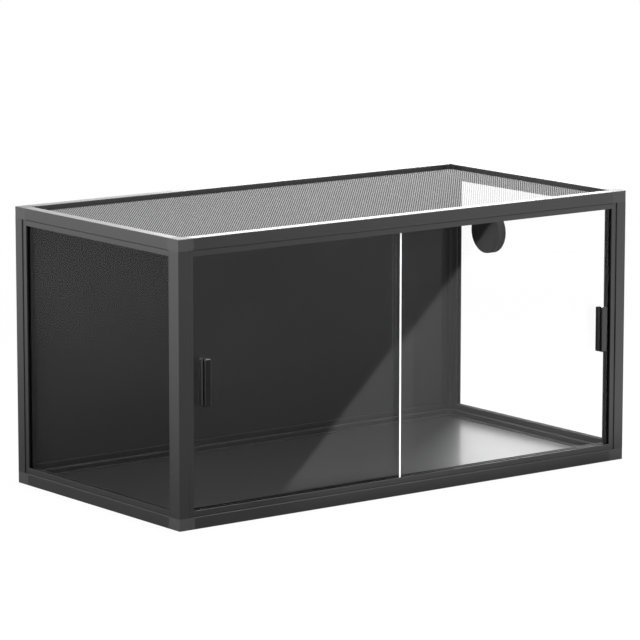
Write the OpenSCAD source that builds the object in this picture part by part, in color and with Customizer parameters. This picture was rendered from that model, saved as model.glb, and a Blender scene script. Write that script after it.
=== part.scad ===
// Reptile terrarium: a knock-down frame of slotted square tube with glass sides,
// two sliding glass doors, a lift-out mesh top and a round cable port.
// Millimetres. X runs along the front, Y from front to back, Z up.
// The origin is under the middle of the frame, on the surface it stands on.

/* [Enclosure] */
// Overall width of the frame
width = 1200; // [900:10:1500]
// Overall depth of the frame
depth = 600; // [450:10:750]
// Overall height of the frame
height = 600; // [450:10:900]

/* [Frame extrusion] */
// Outside size of the square tube
tube_size = 25; // [22:1:32]
// Wall of the square tube
tube_wall = 1.6; // [1.2:0.1:2.4]
// Chamfer along the outer edges
edge_chamfer = 0.8; // [0.3:0.1:1.1]
// How far the flanges stand out from the tube
flange_reach = 13; // [11:0.5:18]
// Thickness of a flange
flange_t = 2; // [1.5:0.1:2.5]
// Step from the tube's outer face back to the outer flange
flange_setback = 2.3; // [1.5:0.1:3]
// Clear width of the slot between outer and inner flange
slot_w = 8.7; // [7.5:0.1:10]

/* [Corner connectors] */
// Length of each spigot inside its tube
spigot_len = 30; // [20:1:45]
// Gap all round a spigot in its tube
spigot_gap = 0.15; // [0.05:0.05:0.3]
// Lead-in chamfer at a spigot's tip
spigot_tip = 3; // [1:0.5:5]

/* [Panels] */
// Thickness of the side glass
side_glass_t = 5; // [4:0.5:6]
// Thickness of the back panel
back_panel_t = 5; // [3:0.5:6]
// Thickness of the floor panel
floor_panel_t = 5; // [3:0.5:6]
// Gap between a panel's edge and the tube
panel_edge_gap = 2; // [1:0.5:4]
// Gap between a gasket's outer edge and the tube
gasket_edge_gap = 0.3; // [0.1:0.1:1]
// How far a gasket stays below the flange's edge
gasket_drop = 1; // [0.5:0.5:3]

/* [Sliding doors] */
// Thickness of a door pane
pane_t = 5; // [4:0.5:6]
// Overlap of the two closed panes
pane_overlap = 44; // [30:1:80]
// Running gap on each side of a pane in its slot
pane_gap = 1; // [0.5:0.1:1.5]
// Running gap under a pane
pane_float = 0.3; // [0.2:0.1:0.6]
// Gap between a closed pane and the side channel's base
pane_stop_gap = 1; // [0.5:0.5:3]
// How far a pane reaches up into the top track
pane_top_hold = 6; // [4:0.5:8]
// Ground arris along a pane's edges
pane_arris = 0.5; // [0.2:0.1:0.8]
// Thickness of the outer ribs of a track
rib_t = 2; // [1:0.1:2.5]
// Thickness of the rib between the two slots
divider_t = 3.5; // [3:0.1:5]
// Thickness of a track's base
track_base_t = 1.5; // [1:0.1:2.5]

/* [Door handles] */
// Height of a handle
handle_h = 100; // [60:1:160]
// Width of a handle
handle_w = 15; // [12:0.5:22]
// Depth of a handle, from its pad to its front
handle_d = 21; // [16:0.5:28]
// Height of the handles' middle above the floor
handle_mid_z = 300; // [150:5:400]
// Distance from the side channel to the handle
handle_side_gap = 25; // [15:1:80]
// Width of the handle's waist between the finger grooves
handle_waist = 5; // [4:0.5:8]
// Thickness of the flange against the glass
handle_base_t = 3.5; // [2.5:0.5:5]
// Thickness of the flange at the front
handle_front_t = 5; // [3:0.5:6]
// Radius of the handle's corners, seen from the front
handle_corner_r = 4; // [2:0.5:5]
// Radius of the front flange's ends, seen from the side
handle_nose_r = 3; // [1:0.5:5]
// Thickness of the adhesive pad
pad_t = 0.8; // [0.5:0.1:2]
// How far the pad stays inside the handle's outline
pad_margin = 2; // [1:0.5:4]

/* [Cable port] */
// Distance of the port's middle from the rear of the frame
port_from_rear = 150; // [110:5:220]
// Distance of the port's middle from the top of the frame
port_from_top = 142; // [110:5:220]
// Outer radius of the outside flange, the ring nut and the cap
port_r = 50; // [46:1:60]
// Radius of the hole in the glass
port_bore_r = 41; // [36:0.5:43]
// Gap between the sleeve and the hole or the ring nut
port_sleeve_gap = 0.3; // [0.1:0.1:1]
// Wall of the sleeve
port_sleeve_wall = 2.5; // [2:0.5:4]
// Thickness of the outside flange
port_flange_t = 3; // [2:0.5:4]
// Chamfer around the outside flange
port_flange_chamfer = 1; // [0.5:0.5:1.5]
// Thickness of the ring nut
port_nut_t = 7; // [5:0.5:12]
// Number of grip scallops around the ring nut
port_nut_grips = 24; // [12:1:36]
// Radius of a grip scallop
port_grip_r = 2.5; // [1.5:0.5:3]
// Thickness of the cap's cover
port_cap_t = 5.5; // [4:0.5:8]
// Chamfer around the cap's cover
port_cap_chamfer = 1.5; // [0.5:0.5:2.5]
// Running gap between the cap and the ring nut
port_cap_gap = 0.3; // [0.2:0.1:0.6]
// Gap between the cap's skirt and the sleeve
port_skirt_gap = 0.4; // [0.3:0.1:1]
// Depth of the cap's skirt inside the sleeve
port_skirt_len = 9; // [5:0.5:12]
// Wall of the cap's skirt
port_skirt_wall = 2; // [1.5:0.5:3]
// Length of the finger notch in the cap
port_notch_len = 14; // [8:1:20]
// Width of the finger notch
port_notch_w = 4; // [3:0.5:6]
// Depth of the finger notch
port_notch_depth = 2; // [1:0.5:3]
// Corner radius of the finger notch
port_notch_r = 1.4; // [0.5:0.1:1.5]
// How far the finger notch lies below the cap's middle
port_notch_down = 22; // [15:1:26]
// How far the finger notch lies in front of the cap's middle
port_notch_side = 25; // [0:1:28]

/* [Screen top] */
// Gap between the screen's frame and the rails
screen_gap = 1; // [0.5:0.5:3]
// Running gap between the screen's frame and its ledge
screen_float = 0.3; // [0.2:0.1:0.5]
// Width of the screen's frame bars
screen_bar_w = 12; // [8:0.5:20]
// Thickness of the screen's frame bars
screen_bar_t = 2.7; // [2:0.1:5]
// Thickness of a net wire
wire_t = 1.2; // [0.8:0.1:2]
// Openings of the net along the width
net_cols = 24; // [8:1:25]
// Openings of the net along the depth
net_rows = 12; // [4:1:12]

/* [Hidden] */
$fn = 64;
// Small overshoot of a cutting tool past the face it cuts
cut = 1;

// Places that follow from the extrusion
flange_edge = tube_size + flange_reach;
outer_flange_in = flange_setback + flange_t;
slot_in = outer_flange_in + slot_w;
rail_x_len = width - 2 * flange_edge;
rail_y_len = depth - 2 * flange_edge;
pillar_len = height - 2 * tube_size;
spigot_size = tube_size - 2 * (tube_wall + spigot_gap);

// Panels sit against the inner flange
panel_x = width - 2 * (tube_size + panel_edge_gap);
panel_y = depth - 2 * (tube_size + panel_edge_gap);
panel_z = height - 2 * (tube_size + panel_edge_gap);
gasket_x = width - 2 * (tube_size + gasket_edge_gap);
gasket_y = depth - 2 * (tube_size + gasket_edge_gap);
gasket_z = height - 2 * (tube_size + gasket_edge_gap);
gasket_w = flange_reach - gasket_edge_gap - gasket_drop;

// Door tracks: ribs, slots and panes, counted back from the outer flange
slot_pane_w = pane_t + 2 * pane_gap;
track_w = 2 * rib_t + divider_t + 2 * slot_pane_w;
front_slot_in = rib_t;
rear_slot_in = rib_t + slot_pane_w + divider_t;
track_front_y = -depth / 2 + outer_flange_in;
front_pane_y = track_front_y + front_slot_in + pane_gap;
rear_pane_y = track_front_y + rear_slot_in + pane_gap;

// Strips of an E-shaped track: name, distance back from the front rib's face, width,
// distance of the foot and of the top from the tube
TRACK_STRIPS = [
    ["base", 0, track_w, 0, track_base_t],
    ["front_rib", 0, rib_t, track_base_t, flange_reach],
    ["divider", front_slot_in + slot_pane_w, divider_t, track_base_t, flange_reach],
    ["rear_rib", rear_slot_in + slot_pane_w, rib_t, track_base_t, flange_reach]
];

// Door panes
pane_stop_x = width / 2 - tube_size - track_base_t - pane_stop_gap;
pane_w = pane_stop_x + pane_overlap / 2;
pane_bottom_z = tube_size + track_base_t + pane_float;
pane_top_z = height - flange_edge + pane_top_hold;
pane_h = pane_top_z - pane_bottom_z;

// Handles
handle_x = width / 2 - flange_edge - handle_side_gap - handle_w / 2;
groove_chord = handle_d - handle_base_t - handle_front_t;
groove_sink = (handle_w - handle_waist) / 2;
groove_r = (pow(groove_chord / 2, 2) + pow(groove_sink, 2)) / (2 * groove_sink);

// Cable port, counted outward along X from the right glass
glass_in = slot_in - side_glass_t;
glass_outer_x = width / 2 - glass_in;
glass_inner_x = width / 2 - slot_in;
port_y = depth / 2 - port_from_rear;
port_z = height - port_from_top;
sleeve_r = port_bore_r - port_sleeve_gap;
sleeve_bore_r = sleeve_r - port_sleeve_wall;
skirt_r = sleeve_bore_r - port_skirt_gap;
nut_inner_x = glass_inner_x - port_nut_t;
cap_back_x = nut_inner_x - port_cap_gap;

// Screen top
ledge_z = height - slot_in;
screen_x = width - 2 * (tube_size + screen_gap);
screen_y = depth - 2 * (tube_size + screen_gap);
screen_z = ledge_z + screen_float;
net_x = screen_x - 2 * screen_bar_w;
net_y = screen_y - 2 * screen_bar_w;

// Flanges on one side of a tube: outer, inner
BOTH = [true, true];
OUTER_ONLY = [true, false];
INNER_ONLY = [false, true];

SIDES = ["left", "right"];
DEPTHS = ["front", "rear"];
LEVELS = ["bottom", "top"];

// ---- Placing helpers ----

// Puts what is drawn at the front left bottom corner to any corner of the frame
module at_corner(side, depth_side, level) {
    translate([0, 0, level == "top" ? height : 0])
        mirror([0, 0, level == "top" ? 1 : 0])
            mirror([0, depth_side == "rear" ? 1 : 0, 0])
                mirror([side == "right" ? 1 : 0, 0, 0])
                    translate([-width / 2, -depth / 2, 0]) children();
}

// Extrudes a (Y, Z) section along X, centred
module along_x(len) {
    rotate([90, 0, 90]) linear_extrude(len, center = true) children();
}

// Extrudes an (X, Z) section along Y, centred
module along_y(len) {
    rotate([90, 0, 0]) linear_extrude(len, center = true) children();
}

// ---- Frame extrusion ----

// Rectangle from the origin with its corner at the origin cut off
module chamfered_rect(a, b, chamfer) {
    polygon([[chamfer, 0], [a, 0], [a, b], [0, b], [0, chamfer]]);
}

// Flange that stands on the tube along the second axis, `inset` from the outer face
module flange_up(inset) {
    translate([inset, tube_size - tube_wall]) square([flange_t, flange_reach + tube_wall]);
}

// The same along the first axis
module flange_sideways(inset) {
    translate([tube_size - tube_wall, inset]) square([flange_reach + tube_wall, flange_t]);
}

// Section of a rail or pillar with its outer corner at the origin. Each pair says whether
// the outer and the inner flange are there, along the second axis and along the first.
module extrusion_section(upward, sideways) {
    difference() {
        chamfered_rect(tube_size, tube_size, edge_chamfer);
        translate([tube_wall, tube_wall]) square(tube_size - 2 * tube_wall);
    }
    if (upward[0]) flange_up(flange_setback);
    if (upward[1]) flange_up(slot_in);
    if (sideways[0]) flange_sideways(flange_setback);
    if (sideways[1]) flange_sideways(slot_in);
}

// Upright between two connectors. A front pillar has a bare outer flange at the door.
module pillar(side, depth_side) {
    color("#2b2b2d")
        at_corner(side, depth_side, "bottom")
            translate([0, 0, tube_size])
                linear_extrude(pillar_len)
                    extrusion_section(BOTH, depth_side == "front" ? OUTER_ONLY : BOTH);
}

// Rail along the front or the rear. A bottom rail has a slot for the floor panel and a
// top rail a ledge for the screen. The front rails have no slot for a wall panel.
module rail_x(depth_side, level) {
    color("#2b2b2d")
        at_corner("left", depth_side, level)
            translate([width / 2, 0, 0])
                along_x(rail_x_len)
                    extrusion_section(
                        depth_side == "front" ? OUTER_ONLY : BOTH,
                        level == "top" ? INNER_ONLY : BOTH
                    );
}

// Rail along the left or right side
module rail_y(side, level) {
    color("#2b2b2d")
        at_corner(side, "front", level)
            translate([0, depth / 2, 0])
                along_y(rail_y_len) extrusion_section(BOTH, level == "top" ? INNER_ONLY : BOTH);
}

// ---- Corner connector ----

// Square bar that stands along Z on the face at the origin, rooted a little below it
module spigot() {
    half = spigot_size / 2;
    translate([0, half, 0])
        rotate([90, 0, 0])
            linear_extrude(spigot_size)
                polygon([
                    [-half, -cut],
                    [half, -cut],
                    [half, spigot_len - spigot_tip],
                    [half - spigot_tip, spigot_len],
                    [-half + spigot_tip, spigot_len],
                    [-half, spigot_len - spigot_tip]
                ]);
}

// Three-way corner block: an L in plan, chamfered on every outer edge
module connector_block() {
    intersection() {
        linear_extrude(tube_size) {
            chamfered_rect(flange_edge, tube_size, edge_chamfer);
            chamfered_rect(tube_size, flange_edge, edge_chamfer);
        }
        translate([flange_edge / 2, 0, 0])
            along_x(flange_edge) chamfered_rect(flange_edge, tube_size, edge_chamfer);
        translate([0, flange_edge / 2, 0])
            along_y(flange_edge) chamfered_rect(flange_edge, tube_size, edge_chamfer);
    }
}

// Corner block with the spigots that are driven into the two rails and the pillar
module connector(side, depth_side, level) {
    mid = tube_size / 2;
    color("#3a3a3c")
        at_corner(side, depth_side, level) {
            connector_block();
            translate([mid, mid, tube_size]) spigot();
            translate([flange_edge, mid, mid]) rotate([0, 90, 0]) spigot();
            translate([mid, flange_edge, mid]) rotate([-90, 0, 0]) spigot();
        }
}

// ---- Panels and gaskets ----

// Flat ring of the given outer size, bar width and thickness, centred
module ring_plate(a, b, bar, t) {
    linear_extrude(t, center = true)
        difference() {
            square([a, b], center = true);
            square([a - 2 * bar, b - 2 * bar], center = true);
        }
}

// Left side glass, drawn on the left; the right side mirrors it
module side_glass_plate() {
    translate([-width / 2 + glass_in, 0, height / 2])
        rotate([90, 0, 90]) linear_extrude(side_glass_t)
            square([panel_y, panel_z], center = true);
}

module glass_left() {
    color("#c8d4d4", 0.35) side_glass_plate();
}

// Right side glass, bored for the cable port
module glass_right() {
    color("#c8d4d4", 0.35)
        difference() {
            mirror([1, 0, 0]) side_glass_plate();
            translate([glass_inner_x - cut, port_y, port_z])
                rotate([0, 90, 0]) cylinder(h = side_glass_t + 2 * cut, r = port_bore_r);
        }
}

module back_panel() {
    color("#1d1d1f")
        translate([-panel_x / 2, depth / 2 - slot_in, height / 2 - panel_z / 2])
            cube([panel_x, back_panel_t, panel_z]);
}

module floor_panel() {
    color("#1d1d1f")
        translate([-panel_x / 2, -panel_y / 2, slot_in - floor_panel_t])
            cube([panel_x, panel_y, floor_panel_t]);
}

// Rubber glazing strip that fills the slot between the outer flange and the side glass
module side_gasket(side) {
    t = slot_w - side_glass_t;
    color("#161616")
        mirror([side == "right" ? 1 : 0, 0, 0])
            translate([-width / 2 + outer_flange_in + t / 2, 0, height / 2])
                rotate([90, 0, 90]) ring_plate(gasket_y, gasket_z, gasket_w, t);
}

module gasket_back() {
    t = slot_w - back_panel_t;
    color("#161616")
        translate([0, depth / 2 - outer_flange_in - t / 2, height / 2])
            rotate([90, 0, 0]) ring_plate(gasket_x, gasket_z, gasket_w, t);
}

module gasket_floor() {
    t = slot_w - floor_panel_t;
    color("#161616")
        translate([0, 0, outer_flange_in + t / 2])
            ring_plate(gasket_x, gasket_y, gasket_w, t);
}

// ---- Door tracks ----

// One strip of the E-shaped section: the base, an outer rib or the divider. The first
// axis counts back from the front rib's face, and the ribs stand along the second.
module strip_section(strip) {
    translate([strip[1], strip[3]]) square([strip[2], strip[4] - strip[3]]);
}

// Strip of the track between the side channels, on the bottom rail or under the top rail
module track(level, strip) {
    color("#141414")
        translate([0, 0, level == "top" ? height : 0])
            mirror([0, 0, level == "top" ? 1 : 0])
                translate([0, track_front_y, tube_size]) along_x(rail_x_len) strip_section(strip);
}

// Strip of the upright channel on the pillar that a closed pane slides into
module channel(side, strip) {
    color("#141414")
        mirror([side == "right" ? 1 : 0, 0, 0])
            translate([-width / 2 + tube_size, track_front_y, tube_size])
                linear_extrude(pillar_len) mirror([1, -1]) strip_section(strip);
}

// ---- Doors ----

// Glass pane with its lower left front corner at the origin and ground edges
module pane_plate() {
    a = pane_arris;
    linear_extrude(pane_h)
        polygon([
            [a, 0],
            [pane_w - a, 0],
            [pane_w, a],
            [pane_w, pane_t - a],
            [pane_w - a, pane_t],
            [a, pane_t],
            [0, pane_t - a],
            [0, a]
        ]);
}

// The left pane runs in the rear slot
module door_pane_left() {
    color("#c8d4d4", 0.35)
        translate([-pane_stop_x, rear_pane_y, pane_bottom_z]) pane_plate();
}

// The right pane runs in the front slot
module door_pane_right() {
    color("#c8d4d4", 0.35)
        translate([pane_stop_x - pane_w, front_pane_y, pane_bottom_z]) pane_plate();
}

// Rectangle with four round corners, centred
module rounded_rect(a, b, r) {
    square([a, b - 2 * r], center = true);
    square([a - 2 * r, b], center = true);
    for (sx = [-1, 1], sy = [-1, 1])
        translate([sx * (a / 2 - r), sy * (b / 2 - r)]) circle(r);
}

// Waisted section of the finger pull. The glass side is at zero and the front at -handle_d.
module handle_section() {
    groove_y = -handle_base_t - groove_chord / 2;
    difference() {
        translate([-handle_w / 2, -handle_d]) square([handle_w, handle_d]);
        for (s = [-1, 1])
            translate([s * (handle_waist / 2 + groove_r), groove_y]) circle(groove_r);
    }
}

// Side view of the finger pull: square at the glass, round at the front
module handle_side_view() {
    r = handle_nose_r;
    translate([-handle_d + r, -handle_h / 2]) square([handle_d - r, handle_h]);
    translate([-handle_d, -handle_h / 2 + r]) square([handle_d, handle_h - 2 * r]);
    for (s = [-1, 1])
        translate([-handle_d + r, s * (handle_h / 2 - r)]) circle(r);
}

// Upright finger pull with a groove down each side, standing forward from the pad
module finger_pull() {
    intersection() {
        linear_extrude(handle_h, center = true) handle_section();
        translate([0, -handle_d / 2, 0])
            along_y(handle_d) rounded_rect(handle_w, handle_h, handle_corner_r);
        along_x(handle_w) handle_side_view();
    }
}

// Puts a handle's part in front of its pane, `out` forward of the glass
module at_handle(side, out) {
    x = side == "left" ? -handle_x : handle_x;
    glass_y = side == "left" ? rear_pane_y : front_pane_y;
    translate([x, glass_y - out, handle_mid_z]) children();
}

module handle(side) {
    color("#0f0f10") at_handle(side, pad_t) finger_pull();
}

// Adhesive pad between the handle and the glass
module handle_pad(side) {
    color("#303030")
        at_handle(side, pad_t / 2)
            along_y(pad_t) square([handle_w - 2 * pad_margin, handle_h - 2 * pad_margin], center = true);
}

// ---- Screen top ----

// Flat frame that drops between the top rails onto their ledges
module screen_frame() {
    color("#2b2b2d")
        translate([0, 0, screen_z + screen_bar_t / 2])
            ring_plate(screen_x, screen_y, screen_bar_w, screen_bar_t);
}

// Wire net across the screen frame
module screen_mesh() {
    pitch_x = (net_x + wire_t) / net_cols;
    pitch_y = (net_y + wire_t) / net_rows;
    color("#8f9092")
        translate([-net_x / 2, -net_y / 2, screen_z + screen_bar_t - wire_t])
            linear_extrude(wire_t)
                difference() {
                    square([net_x, net_y]);
                    for (i = [0 : net_cols - 1], j = [0 : net_rows - 1])
                        translate([i * pitch_x, j * pitch_y])
                            square([pitch_x - wire_t, pitch_y - wire_t]);
                }
}

// ---- Cable port ----

// Turns a piece that is drawn along Z from its outer end so that it points inward
// from the given place on the port's axis
module at_port(x) {
    translate([x, port_y, port_z]) rotate([0, -90, 0]) children();
}

// Outside flange with the sleeve that passes through the glass and the ring nut
module port_flange() {
    sleeve_len = port_flange_t + side_glass_t + port_nut_t;
    color("#141414")
        at_port(glass_outer_x + port_flange_t)
            difference() {
                union() {
                    cylinder(h = port_flange_chamfer, r1 = port_r - port_flange_chamfer, r2 = port_r);
                    translate([0, 0, port_flange_chamfer])
                        cylinder(h = port_flange_t - port_flange_chamfer, r = port_r);
                    cylinder(h = sleeve_len, r = sleeve_r);
                }
                translate([0, 0, -cut]) cylinder(h = sleeve_len + 2 * cut, r = sleeve_bore_r);
            }
}

// Ring nut that clamps the flange to the glass from inside
module port_nut() {
    color("#141414")
        at_port(glass_inner_x)
            difference() {
                cylinder(h = port_nut_t, r = port_r);
                translate([0, 0, -cut])
                    cylinder(h = port_nut_t + 2 * cut, r = sleeve_r + port_sleeve_gap);
                for (i = [0 : port_nut_grips - 1])
                    rotate([0, 0, i * 360 / port_nut_grips])
                        translate([port_r + port_grip_r / 2, 0, -cut])
                            cylinder(h = port_nut_t + 2 * cut, r = port_grip_r, $fn = 24);
            }
}

// Skirt of the cap, from inside the cover down into the sleeve
module cap_skirt(root) {
    translate([0, 0, -port_skirt_len])
        difference() {
            cylinder(h = port_skirt_len + root, r = skirt_r);
            translate([0, 0, -cut])
                cylinder(h = port_skirt_len + root + 2 * cut, r = skirt_r - port_skirt_wall);
        }
}

// Round cap that turns in the sleeve, with a finger notch in its face
module port_cap() {
    cover_flat = port_cap_t - port_cap_chamfer;
    color("#101010")
        at_port(cap_back_x)
            difference() {
                union() {
                    cylinder(h = cover_flat, r = port_r);
                    translate([0, 0, cover_flat])
                        cylinder(h = port_cap_chamfer, r1 = port_r, r2 = port_r - port_cap_chamfer);
                    cap_skirt(cover_flat / 2);
                }
                translate([-port_notch_down, -port_notch_side, port_cap_t - port_notch_depth])
                    linear_extrude(port_notch_depth + cut)
                        rounded_rect(port_notch_w, port_notch_len, port_notch_r);
            }
}

// ---- Assembly ----

for (l = LEVELS, d = DEPTHS, s = SIDES)
    connector(s, d, l);
for (d = DEPTHS, s = SIDES)
    pillar(s, d);
for (l = LEVELS, d = DEPTHS)
    rail_x(d, l);
for (l = LEVELS, s = SIDES)
    rail_y(s, l);
glass_left();
glass_right();
back_panel();
floor_panel();
for (s = SIDES)
    side_gasket(s);
gasket_back();
gasket_floor();
for (l = LEVELS, strip = TRACK_STRIPS)
    track(l, strip);
for (s = SIDES, strip = TRACK_STRIPS)
    channel(s, strip);
door_pane_left();
door_pane_right();
for (s = SIDES)
    handle(s);
for (s = SIDES)
    handle_pad(s);
screen_frame();
screen_mesh();
port_flange();
port_nut();
port_cap();
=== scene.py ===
"""Reptile terrarium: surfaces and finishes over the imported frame.

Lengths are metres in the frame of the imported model: X runs along the front, Y from the
sliding doors to the back panel and Z up, with the origin under the middle of the frame.
"""

import logging
import math
from dataclasses import dataclass
from enum import Enum

import bpy
import numpy as np
from mathutils import Matrix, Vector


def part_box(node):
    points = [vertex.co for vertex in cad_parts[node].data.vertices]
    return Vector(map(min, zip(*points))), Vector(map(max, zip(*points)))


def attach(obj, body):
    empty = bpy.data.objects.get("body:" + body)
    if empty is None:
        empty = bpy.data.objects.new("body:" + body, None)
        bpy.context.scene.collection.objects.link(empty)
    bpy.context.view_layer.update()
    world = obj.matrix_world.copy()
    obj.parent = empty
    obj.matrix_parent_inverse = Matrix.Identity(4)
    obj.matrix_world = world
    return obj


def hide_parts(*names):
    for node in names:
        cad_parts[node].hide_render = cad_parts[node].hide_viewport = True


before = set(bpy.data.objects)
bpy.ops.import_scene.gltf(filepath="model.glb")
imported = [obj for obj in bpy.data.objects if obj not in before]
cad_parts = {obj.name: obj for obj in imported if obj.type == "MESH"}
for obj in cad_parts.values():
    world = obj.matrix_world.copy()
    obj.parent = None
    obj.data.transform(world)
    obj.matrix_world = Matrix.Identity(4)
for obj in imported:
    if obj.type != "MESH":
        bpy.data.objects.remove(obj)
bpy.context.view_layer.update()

log = logging.getLogger("terrarium")

Colour = tuple[float, float, float]
Point = tuple[float, float, float]
Corner = tuple[float, float, float]

WHITE = (1.0, 1.0, 1.0)
SLOW_DETAIL = 3.0
FRAME_LOW = np.array([-0.6, -0.3, 0.0])
FRAME_HIGH = np.array([0.6, 0.3, 0.6])
SHARP_ANGLE = math.radians(35)
SIDES = ("left", "right")


class Body(Enum):
    """The rigid bodies that a piece can ride on."""

    FRAME = "frame"
    LEFT_DOOR = "left_door"
    RIGHT_DOOR = "right_door"
    SCREEN = "screen"
    PORT_COVER = "port_cover"


class Slot(Enum):
    """Names of material slots; no piece here is given one."""

    FRAME = "frame_black"
    GASKET = "gasket_rubber"
    HANDLE = "handle_black"
    PAD = "pad_foam"
    SCREEN = "screen_steel"
    PORT = "port_black"


# ---- Shader expressions ----


class Value:
    """A shader number with Python's operators; each operator adds one Math node."""

    def __init__(self, tree: "ShaderTree", socket: bpy.types.NodeSocket) -> None:
        """Wraps an output socket of a tree."""
        self.tree = tree
        self.socket = socket

    def _math(self, operation: str, *terms: "Value | float") -> "Value":
        """Adds a Math node.

        Args:
            operation: the Math node's operation.
            terms: its inputs, in order.
        Returns:
            The node's result.
        """
        node = self.tree.node("ShaderNodeMath", {"operation": operation}, dict(enumerate(terms)))
        return Value(self.tree, node.outputs[0])

    def __add__(self, other: "Value | float") -> "Value":
        """self + other."""
        return self._math("ADD", self, other)

    def __radd__(self, other: float) -> "Value":
        """other + self."""
        return self._math("ADD", other, self)

    def __sub__(self, other: "Value | float") -> "Value":
        """self - other."""
        return self._math("SUBTRACT", self, other)

    def __rsub__(self, other: float) -> "Value":
        """other - self."""
        return self._math("SUBTRACT", other, self)

    def __mul__(self, other: "Value | float") -> "Value":
        """self * other."""
        return self._math("MULTIPLY", self, other)

    def __rmul__(self, other: float) -> "Value":
        """other * self."""
        return self._math("MULTIPLY", other, self)

    def __pow__(self, other: float) -> "Value":
        """self to a power."""
        return self._math("POWER", self, other)

    def __gt__(self, other: "Value | float") -> "Value":
        """1 where self is greater, else 0."""
        return self._math("GREATER_THAN", self, other)

    def __lt__(self, other: "Value | float") -> "Value":
        """1 where self is less, else 0."""
        return self._math("LESS_THAN", self, other)

    def __abs__(self) -> "Value":
        """The value without its sign."""
        return self._math("ABSOLUTE", self)

    def at_least(self, other: "Value | float") -> "Value":
        """The greater of the two."""
        return self._math("MAXIMUM", self, other)

    def cosine(self) -> "Value":
        """The cosine of the value in radians."""
        return self._math("COSINE", self)

    def step(self, low: float, high: float) -> "Value":
        """A smooth step of the value.

        Args:
            low: where the step is 0.
            high: where it is 1.
        Returns:
            The step.
        """
        node = self.tree.node(
            "ShaderNodeMapRange",
            {"interpolation_type": "SMOOTHSTEP"},
            {"Value": self, "From Min": low, "From Max": high},
        )
        return Value(self.tree, node.outputs[0])


class ShaderTree:
    """The node tree of a material or of the world."""

    def __init__(self, owner: bpy.types.Material | bpy.types.World) -> None:
        """Empties the owner's tree and starts from nothing.

        Args:
            owner: the material or world whose tree it is.
        """
        owner.use_nodes = True
        self.tree = owner.node_tree
        self.tree.nodes.clear()

    def node(
        self,
        kind: str,
        settings: dict[str, object] | None = None,
        inputs: dict[str | int, object] | None = None,
    ) -> bpy.types.Node:
        """Makes one node.

        Args:
            kind: the node's type name.
            settings: its properties, which are set before its sockets.
            inputs: a number, colour or link for each named or numbered socket.
        Returns:
            The new node.
        """
        made = self.tree.nodes.new(kind)
        for name, setting in (settings or {}).items():
            setattr(made, name, setting)
        for name, given in (inputs or {}).items():
            if isinstance(given, Value):
                given = given.socket
            if isinstance(given, bpy.types.NodeSocket):
                self.tree.links.new(given, made.inputs[name])
            else:
                made.inputs[name].default_value = given
        return made

    def value(self, made: bpy.types.Node, output: str | int = 0) -> Value:
        """An output of a node as a Value."""
        return Value(self, made.outputs[output])

    def place(self) -> tuple[Value, Value, Value]:
        """The point shaded, in Object coordinates.

        Returns:
            Its X, Y and Z in metres.
        """
        coordinates = self.node("ShaderNodeTexCoord")
        split = self.node("ShaderNodeSeparateXYZ", inputs={0: coordinates.outputs["Object"]})
        return self.value(split, 0), self.value(split, 1), self.value(split, 2)

    def rays(self, inside_depth: float) -> tuple[Value, Value, Value]:
        """What kind of ray meets the world or the floor.

        Args:
            inside_depth: the count of clear faces passed, beyond which a ray comes from inside.
        Returns:
            1 or 0 for a ray that shows it, one that mirrors it and one from inside.
        """
        path = self.node("ShaderNodeLightPath")
        seen = self.value(path, "Is Camera Ray").at_least(self.value(path, "Is Transmission Ray"))
        inside = self.value(path, "Transparent Depth") > inside_depth
        return seen, self.value(path, "Is Glossy Ray"), inside

    def noise(self, scale: float, detail: float = 2.0) -> Value:
        """Noise on Object coordinates.

        Args:
            scale: features per metre.
            detail: octaves.
        Returns:
            The noise, from 0 to 1 with its middle at one half.
        """
        coordinates = self.node("ShaderNodeTexCoord")
        made = self.node(
            "ShaderNodeTexNoise",
            inputs={"Vector": coordinates.outputs["Object"], "Scale": scale, "Detail": detail},
        )
        return self.value(made, 0)

    def glow(self, kind: str, strength: Value | float) -> bpy.types.Node:
        """A white Background or Emission node of a strength."""
        return self.node(kind, inputs={"Color": rgba(WHITE), "Strength": strength})

    def blend(self, share: Value | float, a: Colour, b: Colour) -> bpy.types.NodeSocket:
        """A colour between `a` at share 0 and `b` at share 1."""
        made = self.node("ShaderNodeMix", {"data_type": "RGBA"}, {0: share, 6: rgba(a), 7: rgba(b)})
        return made.outputs[2]

    def bump(self, height: Value, strength: float, distance: float) -> bpy.types.NodeSocket:
        """A normal bent by a height."""
        made = self.node(
            "ShaderNodeBump", inputs={"Strength": strength, "Distance": distance, "Height": height}
        )
        return made.outputs[0]

    def mix_shader(
        self, share: Value | float, a: bpy.types.Node, b: bpy.types.Node
    ) -> bpy.types.Node:
        """A shader between `a` at share 0 and `b` at share 1."""
        return self.node("ShaderNodeMixShader", inputs={0: share, 1: a.outputs[0], 2: b.outputs[0]})

    def finish(self, surface: bpy.types.Node, kind: str = "ShaderNodeOutputMaterial") -> None:
        """Links the surface to the tree's output."""
        self.node(kind, inputs={"Surface": surface.outputs[0]})


def rgba(colour: Colour) -> tuple[float, float, float, float]:
    """A colour with its alpha."""
    return (*colour, 1.0)


# ---- Finishes ----


@dataclass(frozen=True)
class Surface:
    """A named finish that makes its own material."""

    name: str

    def material(self) -> bpy.types.Material:
        """Makes the material the first time, and finds it after that.

        Returns:
            The Blender material of the finish's name.
        """
        made = bpy.data.materials.get(self.name)
        if made is None:
            made = bpy.data.materials.new(self.name)
            tree = ShaderTree(made)
            tree.finish(self.shade(tree))
        return made

    def shade(self, tree: ShaderTree) -> bpy.types.Node:
        """The finish's shader, which each kind of finish builds in its own way."""
        raise NotImplementedError


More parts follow.
